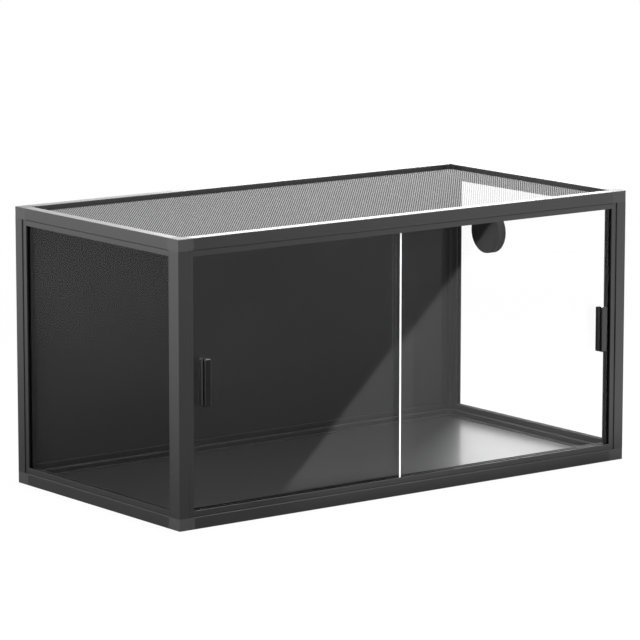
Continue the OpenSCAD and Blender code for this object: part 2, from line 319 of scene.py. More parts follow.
@dataclass(frozen=True)
class Finish(Surface):
    """An opaque finish with a fine grain and soft mottling.

    The grain is a bump of noise. The mottling moves the colour by a slow noise, and both
    noises move the roughness.
    """

    colour: Colour
    roughness: float
    grain_per_metre: float = 1800.0
    grain_depth: float = 0.00005
    grain_strength: float = 0.25
    mottle: float = 0.12
    mottle_per_metre: float = 9.0
    mottle_edges: tuple[float, float] = (0.3, 0.7)
    roughness_swing: float = 0.06
    specular: float = 0.5
    coat: float = 0.0
    coat_roughness: float = 0.1

    def shade(self, tree: ShaderTree) -> bpy.types.Node:
        """Builds the finish's shader.

        Args:
            tree: the material's tree.
        Returns:
            The shader node.
        """
        slow = tree.noise(self.mottle_per_metre, SLOW_DETAIL)
        grain = tree.noise(self.grain_per_metre)
        darker = tuple(c * (1 - self.mottle) for c in self.colour)
        lighter = tuple(c * (1 + self.mottle) for c in self.colour)
        return tree.node(
            "ShaderNodeBsdfPrincipled",
            inputs={
                "Base Color": tree.blend(slow.step(*self.mottle_edges), darker, lighter),
                "Roughness": self.roughness + (slow - 0.5) * self.roughness_swing
                + (grain - 0.5) * self.roughness_swing,
                "Specular IOR Level": self.specular,
                "Coat Weight": self.coat,
                "Coat Roughness": self.coat_roughness,
                "Normal": tree.bump(grain, self.grain_strength, self.grain_depth),
            },
        )


@dataclass(frozen=True)
class Glass(Surface):
    """Clear glass: a clear sheet that mirrors more at a low angle, with a ground edge.

    Mirror share = base + (edge share - base) * facing^5, where facing is 0 straight on and
    1 along the sheet. The upright edge at `edge_x`, if given, is a pale ground surface with a
    painted glow: its emission stands in for the light that the ground edge gathers.
    """

    base_share: float = 0.021
    edge_share: float = 1.0
    smudged: Colour = (0.97, 0.97, 0.97)
    smudges_per_metre: float = 6.0
    edge_colour: Colour = (0.9, 0.9, 0.9)
    edge_grain_per_metre: float = 900.0
    edge_roughness: float = 0.35
    edge_roughness_swing: float = 0.1
    # painted glow: emission strength of the ground edge
    edge_painted_glow: float = 0.5
    edge_band: float = 0.0006
    edge_x: float | None = None

    def shade(self, tree: ShaderTree) -> bpy.types.Node:
        """Builds the glass's shader.

        Args:
            tree: the material's tree.
        Returns:
            The shader node.
        """
        weight = tree.node("ShaderNodeLayerWeight", inputs={"Blend": 0.5})
        facing = tree.value(weight, "Facing")
        share = facing**5 * (self.edge_share - self.base_share) + self.base_share
        smudge = tree.noise(self.smudges_per_metre, SLOW_DETAIL)
        mirror = tree.node(
            "ShaderNodeBsdfPrincipled",
            inputs={
                "Base Color": tree.blend(smudge, self.smudged, WHITE),
                "Metallic": 1.0,
                "Roughness": 0.0,
            },
        )
        sheet = tree.mix_shader(share, tree.node("ShaderNodeBsdfTransparent"), mirror)
        if self.edge_x is None:
            return sheet
        x, _, _ = tree.place()
        grain = tree.noise(self.edge_grain_per_metre)
        ground = tree.node(
            "ShaderNodeBsdfPrincipled",
            inputs={
                "Base Color": tree.blend(grain, self.edge_colour, WHITE),
                "Roughness": self.edge_roughness + grain * self.edge_roughness_swing,
                # painted glow: emission that stands in for light caught by the ground edge
                "Emission Color": rgba(self.edge_colour),
                "Emission Strength": self.edge_painted_glow,
            },
        )
        return tree.mix_shader(abs(x - self.edge_x) < self.edge_band, sheet, ground)


@dataclass(frozen=True)
class WovenNet(Surface):
    """Grey wire in a twill weave on a thin sheet, seen as the weave's diagonal ribs.

    The ribs are cos(pi ((x - x0) / pitch x - (y - y0) / pitch y)). Their crowns carry a
    painted highlight and the stretches between carry a painted shade, which stand in for how
    light falls on the weave. The wires take up `share` of the sheet's near side, and all else is
    clear.
    """

    start: tuple[float, float]
    pitch: tuple[float, float]
    share: float = 0.4
    # painted light: the crown colour is a painted highlight, the sunk colour a painted shade
    crown_painted_highlight: Colour = (0.62, 0.62, 0.625)
    sunk_painted_shade: Colour = (0.12, 0.12, 0.122)
    roughness: float = 0.55
    metallic: float = 0.05

    def shade(self, tree: ShaderTree) -> bpy.types.Node:
        """Builds the net's shader.

        Args:
            tree: the material's tree.
        Returns:
            The shader node.
        """
        x, y, _ = tree.place()
        turn_x = (x - self.start[0]) * (math.pi / self.pitch[0])
        turn_y = (y - self.start[1]) * (math.pi / self.pitch[1])
        crown_painted_highlight = (turn_x - turn_y).cosine() * 0.5 + 0.5
        near = 1 - tree.value(tree.node("ShaderNodeNewGeometry"), "Backfacing")
        wire = tree.node(
            "ShaderNodeBsdfPrincipled",
            inputs={
                # painted highlight on the crowns and painted shade on the stretches between them
                "Base Color": tree.blend(crown_painted_highlight, self.sunk_painted_shade, self.crown_painted_highlight),
                "Roughness": self.roughness,
                "Metallic": self.metallic,
                "Specular IOR Level": 0.0,
            },
        )
        clear = tree.node("ShaderNodeBsdfTransparent")
        return tree.mix_shader(near * self.share, clear, wire)


POWDER_COAT = Finish(
    "satin_powder_coat", (0.0085, 0.0085, 0.0088), 0.4, mottle=0.06, specular=1.0
)
NYLON = Finish(
    "moulded_nylon", (0.027, 0.027, 0.028), 0.5, grain_per_metre=900.0, grain_depth=0.00008,
    mottle=0.08, specular=1.0,
)
BOARD = Finish(
    "semi_gloss_board", (0.028, 0.028, 0.029), 0.3, grain_per_metre=420.0, grain_depth=0.00002,
    grain_strength=0.01, mottle=0.08, mottle_per_metre=3.0, specular=0.38,
)
FLOOR_BOARD = Finish(
    "semi_gloss_floor_board", (0.018, 0.018, 0.019), 0.46, grain_per_metre=420.0,
    grain_depth=0.00002, grain_strength=0.01, mottle=0.08, mottle_per_metre=3.0, specular=0.8,
    coat=0.5, coat_roughness=0.2,
)
RUBBER = Finish(
    "glazing_rubber", (0.004, 0.004, 0.004), 0.7, grain_per_metre=1200.0, mottle=0.15,
    specular=0.3,
)
TRACK_PLASTIC = Finish(
    "track_plastic", (0.005, 0.005, 0.005), 0.45, grain_per_metre=1500.0, grain_strength=0.02,
    mottle=0.1, specular=0.4,
)
HANDLE_PLASTIC = Finish(
    "smooth_moulded_plastic", (0.003, 0.003, 0.003), 0.2, grain_per_metre=2400.0,
    grain_depth=0.00002, mottle=0.08, mottle_per_metre=40.0, specular=0.8,
)
FOAM = Finish(
    "adhesive_foam", (0.09, 0.09, 0.09), 0.9, grain_per_metre=2600.0, grain_depth=0.0002,
    mottle=0.2,
)
PORT_PLASTIC = Finish(
    "port_moulded_plastic", (0.002, 0.002, 0.002), 0.25, grain_per_metre=2400.0,
    grain_depth=0.00002, mottle=0.08, mottle_per_metre=30.0, specular=0.4,
)
SIDE_GLASS = Glass("side_glass", base_share=0.0, edge_share=0.4)


# ---- Mesh tools ----


def make_piece(
    name: str,
    points: np.ndarray,
    faces: list[list[int]],
    finish: Surface,
    body: Body,
    stands_for: str,
) -> bpy.types.Object:
    """Makes a closed mesh object at the origin that rides on a body.

    Faces are turned outwards by the sign of the enclosed volume, edges beyond the sharp
    angle stay sharp, and flat faces keep their own normals.

    Args:
        name: the piece's name.
        points: N by 3 places in metres.
        faces: point indices of each face.
        finish: the finish whose material it gets.
        body: the body it rides on.
        stands_for: the CAD node that it replaces.
    Returns:
        The new object.
    """
    fan = np.array([(f[0], f[k], f[k + 1]) for f in faces for k in range(1, len(f) - 1)])
    a, b, c = (points[fan[:, k]] for k in range(3))
    if np.einsum("ij,ij->i", a, np.cross(b, c)).sum() < 0:
        faces = [f[::-1] for f in faces]
    mesh = bpy.data.meshes.new(name)
    mesh.from_pydata(points.tolist(), [], faces)
    mesh.validate()
    mesh.polygons.foreach_set("use_smooth", np.ones(len(mesh.polygons), bool))
    mesh.set_sharp_from_angle(angle=SHARP_ANGLE)
    mesh.materials.append(finish.material())
    mesh.update()
    made = bpy.data.objects.new(name, mesh)
    bpy.context.scene.collection.objects.link(made)
    even = made.modifiers.new("even_normals", "WEIGHTED_NORMAL")
    even.keep_sharp = True
    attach(made, body.value)
    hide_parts(stands_for)
    log.info("%s: %d faces on %s", name, len(mesh.polygons), body.value)
    return made


def grid_faces(rows: int, columns: int, wrap_rows: bool, wrap_columns: bool) -> list[list[int]]:
    """Quads of a rows by columns grid of points.

    Args:
        rows: number of rows of points.
        columns: number of points in a row.
        wrap_rows: whether the last row joins the first.
        wrap_columns: whether a row's last point joins its first.
    Returns:
        The point indices of each quad, row by row.
    """
    i = np.arange(rows if wrap_rows else rows - 1)
    j = np.arange(columns if wrap_columns else columns - 1)
    i, j = (a.ravel() for a in np.meshgrid(i, j, indexing="ij"))
    i_next, j_next = (i + 1) % rows, (j + 1) % columns
    return np.stack(
        [i * columns + j, i * columns + j_next, i_next * columns + j_next, i_next * columns + j], 1
    ).tolist()


def loft_faces(rows: int, columns: int) -> list[list[int]]:
    """Faces of a stack of closed loops: quads between them and a face on each end.

    Args:
        rows: number of loops.
        columns: number of points in a loop.
    Returns:
        The point indices of each face.
    """
    first = list(range(columns))[::-1]
    last = list(range((rows - 1) * columns, rows * columns))
    return [*grid_faces(rows, columns, False, True), first, last]


def filleted(outline: list[Corner], steps: int = 5) -> np.ndarray:
    """A closed outline with each corner replaced by an arc tangent to both its sides.

    Args:
        outline: corners in order, each with two places and its arc's radius, where 0
            keeps it sharp.
        steps: points on each arc.
    Returns:
        N by 2 points.
    """
    corners = np.array(outline, float)[:, :2]
    points = []
    for k, (corner, (_, _, radius)) in enumerate(zip(corners, outline)):
        if radius <= 0:
            points.append(corner[None, :])
            continue
        a = corners[k - 1] - corner
        b = corners[(k + 1) % len(corners)] - corner
        a /= np.linalg.norm(a)
        b /= np.linalg.norm(b)
        half = math.acos(float(np.clip(a @ b, -1, 1))) / 2
        reach = radius / math.tan(half)
        centre = corner + (a + b) / np.linalg.norm(a + b) * radius / math.sin(half)
        share = np.linspace(0, 1, steps)[:, None]
        along = corner + a * reach * (1 - share) + b * reach * share - centre
        points.append(centre + along / np.linalg.norm(along, axis=1)[:, None] * radius)
    return np.concatenate(points)


def swept_ring(profile: np.ndarray, half_a: float, half_b: float) -> np.ndarray:
    """A profile carried round a rectangle with mitred corners.

    A profile point (inward, up) lies `inward` inside each side of the rectangle, so
    the corner at (sa, sb) has it at (sa * (half_a - inward), sb * (half_b - inward), up).

    Args:
        profile: N by 2 points (inward, up).
        half_a: half the rectangle's size along the first axis.
        half_b: half its size along the second.
    Returns:
        4 by N by 3 points: one profile for each corner.
    """
    signs = np.array([(-1, -1), (1, -1), (1, 1), (-1, 1)], float)
    inward, up = profile[:, 0], profile[:, 1]
    a = signs[:, :1] * (half_a - inward)[None, :]
    b = signs[:, 1:] * (half_b - inward)[None, :]
    return np.stack([a, b, np.broadcast_to(up, a.shape)], 2)


def revolved(profile: np.ndarray, sectors: int) -> np.ndarray:
    """A profile turned about an axis.

    The point (radius, along) goes to (along, radius * cos(angle), radius * sin(angle)).

    Args:
        profile: N by 2 points (radius, along).
        sectors: steps of a full turn.
    Returns:
        N by sectors by 3 points: one ring for each profile point.
    """
    angle = np.arange(sectors) * (2 * math.pi / sectors)
    radius, along = profile[:, :1], profile[:, 1:]
    level = np.broadcast_to(along, (len(profile), sectors))
    return np.stack([level, radius * np.cos(angle), radius * np.sin(angle)], 2)


# ---- Sub-assemblies ----


class Flanges(Enum):
    """Which flanges a side of a tube has: (outer, inner)."""

    BOTH = (True, True)
    OUTER = (True, False)
    INNER = (False, True)


@dataclass
class FrameBars:
    """The rails and pillars, one slotted extrusion with soft edges.

    The section lies in the plane of the two axes across the bar, with the tube's outer
    corner at (0, 0). Its outline goes round the tube and out and back along each flange,
    with a small notch at the foot of an outer flange and every corner an arc, and is carried
    straight from one end of the bar to the other.
    """

    tube: float = 0.025
    reach: float = 0.013
    flange: float = 0.002
    outer_in: float = 0.0023
    inner_in: float = 0.013
    corner_radius: float = 0.0009
    edge_radius: float = 0.0012
    notch_wide: float = 0.0013
    notch_deep: float = 0.001
    notch_radius: float = 0.0002
    tip_radius: float = 0.0006
    root_radius: float = 0.0003

    def build(self) -> None:
        """Makes the four pillars and eight rails."""
        for level in ("bottom", "top"):
            inward = Flanges.INNER if level == "top" else Flanges.BOTH
            self.bar(f"rail_front_{level}", 0, Flanges.OUTER, inward)
            self.bar(f"rail_rear_{level}", 0, Flanges.BOTH, inward)
            for side in SIDES:
                self.bar(f"rail_{side}_{level}", 1, Flanges.BOTH, inward)
        for side in SIDES:
            self.bar(f"pillar_front_{side}", 2, Flanges.BOTH, Flanges.OUTER)
            self.bar(f"pillar_rear_{side}", 2, Flanges.BOTH, Flanges.BOTH)

    def section(self, upward: Flanges, sideways: Flanges) -> np.ndarray:
        """The outline of a section.

        Args:
            upward: the flanges that stand along the second axis.
            sideways: those that stand along the first.
        Returns:
            N by 2 points.
        """
        insets = (self.outer_in, self.inner_in)
        notches = (self.notch_deep, 0.0)
        edge = self.tube + self.reach
        foot = self.tube + self.notch_wide
        corners = [(0.0, 0.0, self.corner_radius), (self.tube, 0.0, self.edge_radius)]
        for shown, inset, notch in zip(sideways.value, insets, notches):
            if shown and notch:
                corners += [
                    (self.tube, inset + notch, self.notch_radius),
                    (foot, inset + notch, self.notch_radius),
                ]
            if shown:
                corners += [
                    (foot if notch else self.tube, inset, self.root_radius),
                    (edge, inset, self.tip_radius),
                    (edge, inset + self.flange, self.tip_radius),
                    (self.tube, inset + self.flange, self.root_radius),
                ]
        corners.append((self.tube, self.tube, self.edge_radius))
        for shown, inset, notch in zip(upward.value[::-1], insets[::-1], notches[::-1]):
            if shown:
                corners += [
                    (inset + self.flange, self.tube, self.root_radius),
                    (inset + self.flange, edge, self.tip_radius),
                    (inset, edge, self.tip_radius),
                    (inset, foot if notch else self.tube, self.root_radius),
                ]
            if shown and notch:
                corners += [
                    (inset + notch, foot, self.notch_radius),
                    (inset + notch, self.tube, self.notch_radius),
                ]
        corners.append((0.0, self.tube, self.edge_radius))
        return filleted(corners)

    def bar(self, name: str, axis: int, upward: Flanges, sideways: Flanges) -> None:
        """Makes one bar in place of its CAD node.

        Args:
            name: the CAD node.
            axis: the axis that it runs along.
            upward: its flanges along the second axis across it.
            sideways: its flanges along the first.
        """
        low, high = (np.array(corner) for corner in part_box(name))
        outline = self.section(upward, sideways)
        ends = np.empty((2, len(outline), 3))
        across = [k for k in range(3) if k != axis]
        for k, run in zip(across, outline.T):
            at_low = abs(low[k] - FRAME_LOW[k]) < abs(high[k] - FRAME_HIGH[k])
            ends[:, :, k] = low[k] + run if at_low else high[k] - run
        ends[0, :, axis], ends[1, :, axis] = low[axis], high[axis]
        make_piece(
            f"{name}_bar", ends.reshape(-1, 3), loft_faces(2, len(outline)), POWDER_COAT,
            Body.FRAME, name,
        )


@dataclass
class FrameDress:
    """Finishes for the CAD nodes, with those that new pieces stand for."""

    def dress(self) -> None:
        """Gives each CAD node its finish."""
        for name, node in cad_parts.items():
            finish = self.finish_for(name)
            node.data.materials.clear()
            node.data.materials.append(finish.material())
            log.info("%s: %s", name, finish.name)

    def finish_for(self, name: str) -> Surface:
        """The finish of a CAD node.

        Args:
            name: the node's name, which says what it is.
        Returns:
            Its finish. The right pane's ground edge is the one that faces the other pane.
        """
        if name.startswith("connector"):
            return NYLON
        if name.startswith(("track", "channel")):
            return TRACK_PLASTIC
        if name.startswith("door_pane"):
            low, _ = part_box(name)
            return Glass(f"{name}_glass", edge_x=low.x if name.endswith("right") else None)
        if name.startswith("glass"):
            return SIDE_GLASS
        return {"floor_panel": FLOOR_BOARD, "back_panel": BOARD}.get(name, POWDER_COAT)


@dataclass
class GlazingStrips:
    """The rubber strips beside the panels, with a rounded bead along the edge that shows."""

    width: float = 0.0117
    thickness: float = 0.0037
    bead_radius: float = 0.0015
    foot_radius: float = 0.0004

    def build(self) -> None:
        """Makes the four rings."""
        for place, normal in (("left", 0), ("right", 0), ("back", 1), ("floor", 2)):
            self.ring(f"gasket_{place}", normal)

    def ring(self, name: str, normal: int) -> None:
        """Makes one ring in place of its CAD node.

        Args:
            name: the CAD node.
            normal: the axis square to the ring.
        """
        low, high = (np.array(corner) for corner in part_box(name))
        half = self.thickness / 2
        profile = filleted(
            [
                (0.0, -half, self.foot_radius),
                (self.width, -half, self.bead_radius),
                (self.width, half, self.bead_radius),
                (0.0, half, self.foot_radius),
            ]
        )
        middle, size = (low + high) / 2, (high - low) / 2
        a, b = (k for k in range(3) if k != normal)
        swept = swept_ring(profile, size[a], size[b])
        points = np.empty_like(swept)
        for place, k in enumerate((a, b, normal)):
            points[:, :, k] = middle[k] + swept[:, :, place]
        faces = grid_faces(4, len(profile), True, True)
        make_piece(
            f"{name}_strip", points.reshape(-1, 3), faces, RUBBER, Body.FRAME, name
        )


@dataclass
class DoorPull:
    """A finger pull with a groove down each side, and the foam pad that holds it to its pane.

    Seen from above its outline is a base, two round grooves and a front. A loop of it at
    height z is narrowed to the round corners of the front view, and its front drawn back
    to the round ends of the side view.
    """

    side: str
    body: Body
    width: float = 0.015
    depth: float = 0.021
    height: float = 0.1
    waist: float = 0.005
    base: float = 0.0035
    front: float = 0.005
    corner: float = 0.004
    nose: float = 0.003
    edge: float = 0.0007
    foot_radius: float = 0.0005
    front_radius: float = 0.0016
    groove_points: int = 11
    corner_points: int = 9
    pad_corner: float = 0.002
    pad_bulge: float = 0.03
    pad_slender: float = 8.0
    pad_levels: tuple[float, ...] = (0.0, 0.3, 0.7, 1.0)

    def outline(self) -> np.ndarray:
        """The outline from above.

        Returns:
            N by 2 points (across, forward).
        """
        half = self.width / 2
        chord = self.depth - self.base - self.front
        sink = half - self.waist / 2
        radius = ((chord / 2) ** 2 + sink**2) / (2 * sink)
        reach = math.asin(chord / 2 / radius)
        turn = np.linspace(-reach, reach, self.groove_points)[1:-1]
        groove_x = self.waist / 2 + radius - radius * np.cos(turn)
        groove_y = self.base + chord / 2 + radius * np.sin(turn)
        right = [(half, 0.0, self.foot_radius), (half, self.base, self.edge)]
        right += [(x, y, 0.0) for x, y in zip(groove_x.tolist(), groove_y.tolist())]
        right += [
            (half, self.depth - self.front, self.edge), (half, self.depth, self.front_radius)
        ]
        return filleted(right + [(-x, y, radius) for x, y, radius in reversed(right)])

    def build(self) -> None:
        """Makes the pull and its pad in place of their CAD nodes."""
        name = f"handle_{self.side}"
        low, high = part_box(name)
        outline = self.outline()
        half = self.height / 2
        turn = np.linspace(0, math.pi / 2, self.corner_points)
        rise = np.unique(
            np.concatenate(
                [
                    half - self.corner + self.corner * np.sin(turn),
                    half - self.edge * (1 - np.sin(turn)),
                ]
            ).round(7)
        )
        levels = np.concatenate([-rise[::-1], rise])
        up = np.abs(levels)
        past_corner = np.clip(up - (half - self.corner), 0, self.corner)
        past_nose = np.clip(up - (half - self.nose), 0, self.nose)
        past_edge = np.clip(up - (half - self.edge), 0, self.edge)
        widest = self.width / 2 - self.corner + np.sqrt(self.corner**2 - past_corner**2)
        farthest = self.depth - self.nose + np.sqrt(self.nose**2 - past_nose**2)
        inset = self.edge - np.sqrt(self.edge**2 - past_edge**2)
        across = np.minimum(np.abs(outline[None, :, 0]), widest[:, None]) - inset[:, None]
        forward = np.minimum(outline[None, :, 1], (farthest - inset)[:, None])
        points = np.stack(
            [
                (low.x + high.x) / 2 + np.sign(outline[None, :, 0]) * across,
                high.y - forward,
                np.broadcast_to((low.z + high.z) / 2 + levels[:, None], forward.shape),
            ],
            2,
        )
        make_piece(
            f"{name}_pull", points.reshape(-1, 3), loft_faces(len(levels), len(outline)),
            HANDLE_PLASTIC, self.body, name,
        )
        self.pad(f"handle_pad_{self.side}")

    def pad(self, name: str) -> None:
        """Makes the pad: a rounded rectangle in four loops from the glass to the pull.

        The loops draw in a little towards the glass and towards the pull.

        Args:
            name: the pad's CAD node.
        """
        low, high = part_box(name)
        half_x, half_z = (high.x - low.x) / 2, (high.z - low.z) / 2
        outline = filleted(
            [
                (x * half_x, z * half_z, self.pad_corner)
                for x, z in ((-1, -1), (1, -1), (1, 1), (-1, 1))
            ]
        )
        share = np.array(self.pad_levels)
        bulge = 1 - self.pad_bulge * np.abs(2 * share - 1) ** 2
        points = np.empty((len(share), len(outline), 3))
        points[:, :, 0] = (low.x + high.x) / 2 + outline[None, :, 0] * bulge[:, None]
        points[:, :, 1] = high.y + (low.y - high.y) * share[:, None]
        upright = 1 - (1 - bulge[:, None]) / self.pad_slender
        points[:, :, 2] = (low.z + high.z) / 2 + outline[None, :, 1] * upright
        made = make_piece(
            f"{name}_foam", points.reshape(-1, 3), loft_faces(len(share), len(outline)), FOAM,
            self.body, name,
        )


@dataclass
class CablePort:
    """The port in the right glass: outside flange with sleeve, ring nut and turning cap.

    Each is a profile (radius, along) turned about the port's axis, with `along` counted
    from the piece's inner or outer face in the direction given.
    """

    axis_y: float = 0.15
    axis_z: float = 0.458
    radius: float = 0.05
    sleeve: float = 0.0407
    bore: float = 0.0382
    flange_face: float = 0.049
    flange_chamfer: float = 0.001
    flange_thick: float = 0.003
    flange_sectors: int = 128
    nut_bore: float = 0.041
    nut_rim: float = 0.002
    nut_mouth: float = 0.001
    scallops: int = 24
    scallop_radius: float = 0.0025
    scallop_steps: int = 16
    skirt: float = 0.0378
    skirt_inner: float = 0.0358
    cap_face: float = 0.0485
    cap_chamfer: float = 0.0015
    cap_thick: float = 0.0055
    cap_deep: float = 0.0145
    cap_sectors: int = 256
    eye: float = 0.0006
    face_reach: float = 0.0475
    face_rings: int = 76
    notch_place: tuple[float, float] = (-0.025, -0.022)
    notch_half: tuple[float, float] = (0.007, 0.002)
    notch_depth: float = 0.0016
    notch_round: float = 0.0014
    notch_soft: float = 0.0008
    fillet: float = 0.0003
    lip_fillet: float = 0.0004
    face_fillet: float = 0.0006

    def place(self, rings: np.ndarray, start: float, way: int) -> np.ndarray:
        """Moves rings of points to the port's axis.

        Args:
            rings: points (along, y, z) about the axis.
            start: the x that `along` is counted from.
            way: 1 or -1, the direction in X that it is counted in.
        Returns:
            N by 3 points.
        """
        points = rings.reshape(-1, 3).copy()
        points[:, 0] = start + way * points[:, 0]
        points[:, 1] += self.axis_y
        points[:, 2] += self.axis_z
        return points

    def flange(self) -> None:
        """Makes the outside flange and its sleeve, from the outer face inwards."""
        low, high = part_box("port_flange")
        deep = high.x - low.x
        profile = filleted(
            [
                (self.bore, 0.0, self.lip_fillet),
                (self.flange_face, 0.0, self.face_fillet),
                (self.radius, self.flange_chamfer, self.face_fillet),
                (self.radius, self.flange_thick, self.fillet),
                (self.sleeve, self.flange_thick, self.fillet),
                (self.sleeve, deep, self.fillet),
                (self.bore, deep, self.fillet),
            ]
        )
        rings = revolved(profile, self.flange_sectors)
        faces = grid_faces(len(profile), self.flange_sectors, True, True)
        make_piece(
            "port_flange_ring", self.place(rings, high.x, -1), faces, PORT_PLASTIC, Body.FRAME,
            "port_flange",
        )

    def nut(self) -> None:
        """Makes the ring nut, with scallops cut from its rim.

        A scallop is a circle whose centre lies half its radius outside the rim, so at an
        angle d from its middle the rim is at c cos d - sqrt(r^2 - c^2 sin^2 d).
        """
        low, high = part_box("port_nut")
        deep = high.x - low.x
        profile = filleted(
            [
                (self.nut_bore, 0.0, self.fillet),
                (self.radius, 0.0, self.fillet),
                (self.radius, deep, self.nut_rim),
                (self.nut_bore, deep, self.nut_mouth),
            ]
        )
        sectors = self.scallops * self.scallop_steps
        angle = np.arange(sectors) * (2 * math.pi / sectors)
        step = 2 * math.pi / self.scallops
        off = (angle + step / 2) % step - step / 2
        centre = self.radius + self.scallop_radius / 2
        room = self.scallop_radius**2 - (centre * np.sin(off)) ** 2
        rim = np.where(room > 0, centre * np.cos(off) - np.sqrt(np.maximum(room, 0)), self.radius)
        cut = self.radius - np.minimum(rim, self.radius)
        rings = revolved(profile, sectors)
        share = np.clip((profile[:, 0] - self.nut_bore) / (self.radius - self.nut_bore), 0, 1)
        scale = 1 - share[:, None] * cut[None, :] / profile[:, :1]
        rings[:, :, 1:] *= scale[:, :, None]
        faces = grid_faces(len(profile), sectors, True, True)
        make_piece(
            "port_ring_nut", self.place(rings, high.x, -1), faces, PORT_PLASTIC, Body.FRAME,
            "port_nut",
        )

    def cap(self) -> None:
        """Makes the cap with the finger notch in its face.

        The notch sinks the face by its depth times a smooth step of the distance to the
        notch's rounded outline.
        """
        low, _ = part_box("port_cap")
        face = np.zeros((self.face_rings, 2))
        face[:, 0] = np.linspace(self.eye, self.face_reach, self.face_rings)
        rest = filleted(
            [
                (self.cap_face, 0.0, self.face_fillet),
                (self.radius, self.cap_chamfer, self.face_fillet),
                (self.radius, self.cap_thick, self.face_fillet),
                (self.skirt, self.cap_thick, self.fillet),
                (self.skirt, self.cap_deep, self.lip_fillet),
                (self.skirt_inner, self.cap_deep, self.lip_fillet),
                (self.skirt_inner, self.cap_thick, self.fillet),
                (self.eye, self.cap_thick, 0.0),
            ]
        )
        rings = revolved(np.concatenate([face, rest]), self.cap_sectors)
        flat = rings[: self.face_rings]
        off_y, off_z = (
            np.abs(flat[:, :, k + 1] - self.notch_place[k]) - self.notch_half[k] + self.notch_round
            for k in range(2)
        )
        outside = np.hypot(np.maximum(off_y, 0), np.maximum(off_z, 0))
        gap = outside + np.minimum(np.maximum(off_y, off_z), 0) - self.notch_round
        share = np.clip(0.5 - gap / self.notch_soft, 0, 1)
        flat[:, :, 0] += self.notch_depth * share * share * (3 - 2 * share)
        faces = loft_faces(len(rings), self.cap_sectors)
        make_piece(
            "port_cap_cover", self.place(rings, low.x, 1), faces, PORT_PLASTIC, Body.PORT_COVER,
            "port_cap",
        )

    def build(self) -> None:
        """Makes the three pieces."""
        self.flange()
        self.nut()
        self.cap()


@dataclass
class WireNet:
    """The screen's net: a thin woven sheet that sags a little between its four sides.

    With s = (1 - (x / a)^2) * (1 - (y / b)^2), which is 0 round the rim and 1 in the middle,
    the sheet lies sag * s lower, and its own thickness runs from top to bottom all over.
    """

    pitch_x: float = 0.00307
    pitch_y: float = 0.00365
    thickness: float = 0.0005
    sag: float = 0.0006
    steps_x: int = 57
    steps_y: int = 27

    def build(self) -> None:
        """Makes the sheet in place of the CAD net."""
        low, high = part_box("screen_mesh")
        start = (low.x + self.pitch_x / 2, low.y + self.pitch_y / 2)
        woven = WovenNet("woven_steel_net", start, (self.pitch_x, self.pitch_y))
        x = np.linspace(low.x, high.x, self.steps_x)
        loop_x = np.concatenate([x, x[::-1]])
        drop = np.repeat([0.0, self.thickness], self.steps_x)
        y = np.linspace(low.y, high.y, self.steps_y)[:, None]
        across = 1 - ((loop_x - (low.x + high.x) / 2) / ((high.x - low.x) / 2)) ** 2
        along = 1 - ((y - (low.y + high.y) / 2) / ((high.y - low.y) / 2)) ** 2
        z = high.z - drop - self.sag * across * along
        points = np.stack([np.broadcast_to(loop_x, z.shape), np.broadcast_to(y, z.shape), z], 2)
        faces = loft_faces(self.steps_y, 2 * self.steps_x)
        make_piece(
            "screen_woven_net", points.reshape(-1, 3), faces, woven, Body.SCREEN,
            "screen_mesh",
        )


# ---- Stage ----


def put(name: str, data: bpy.types.ID, place: Point, axes: list[np.ndarray]) -> bpy.types.Object:
    """Makes an object turned to given axes.

    Args:
        name: its name.
        data: its camera or lamp.
        place: where it stands.
        axes: the directions of its own X, Y and Z.
    Returns:
        The new object.
    """
    made = bpy.data.objects.new(name, data)
    bpy.context.scene.collection.objects.link(made)
    turned = np.eye(4)
    turned[:3, :3] = np.stack(axes, 1)
    turned[:3, 3] = place
    made.matrix_world = Matrix(turned.tolist())
    return made


@dataclass(frozen=True)
class Lamp:
    """A soft area lamp with a width and height in metres and a power in watts."""

    name: str
    place: Point
    target: Point
    size: tuple[float, float]
    power: float
    mirrored: bool = True

    def build(self) -> None:
        """Makes the lamp facing its target. Glossy surfaces show it if it is mirrored."""
        data = bpy.data.lights.new(self.name, "AREA")
        data.shape = "RECTANGLE"
        data.size, data.size_y = self.size
        data.energy = self.power
        back = np.array(self.place, float) - np.array(self.target, float)
        back /= np.linalg.norm(back)
        side = np.cross([0, 0, 1.0], back)
        side /= np.linalg.norm(side)
        made = put(self.name, data, self.place, [side, np.cross(back, side), back])
        made.visible_camera = False
        made.visible_glossy = self.mirrored


LAMPS = (
    Lamp("left_softbox", (-3.2, -0.6, 2.4), (0, 0, 0.3), (2.4, 2.4), 110.0, mirrored=False),
    Lamp("top_softbox", (0.6, -0.6, 3.4), (0.2, 0, 0.3), (3.0, 3.0), 90.0),
    Lamp("rear_softbox", (1.15, 1.1, 1.28), (1.15, 0, 1.2), (1.5, 0.9), 22.0),
    Lamp("key_lamp", (1.8, -0.24, 2.06), (0.58, 0.1, 0.5), (0.3, 0.3), 6.0),
)


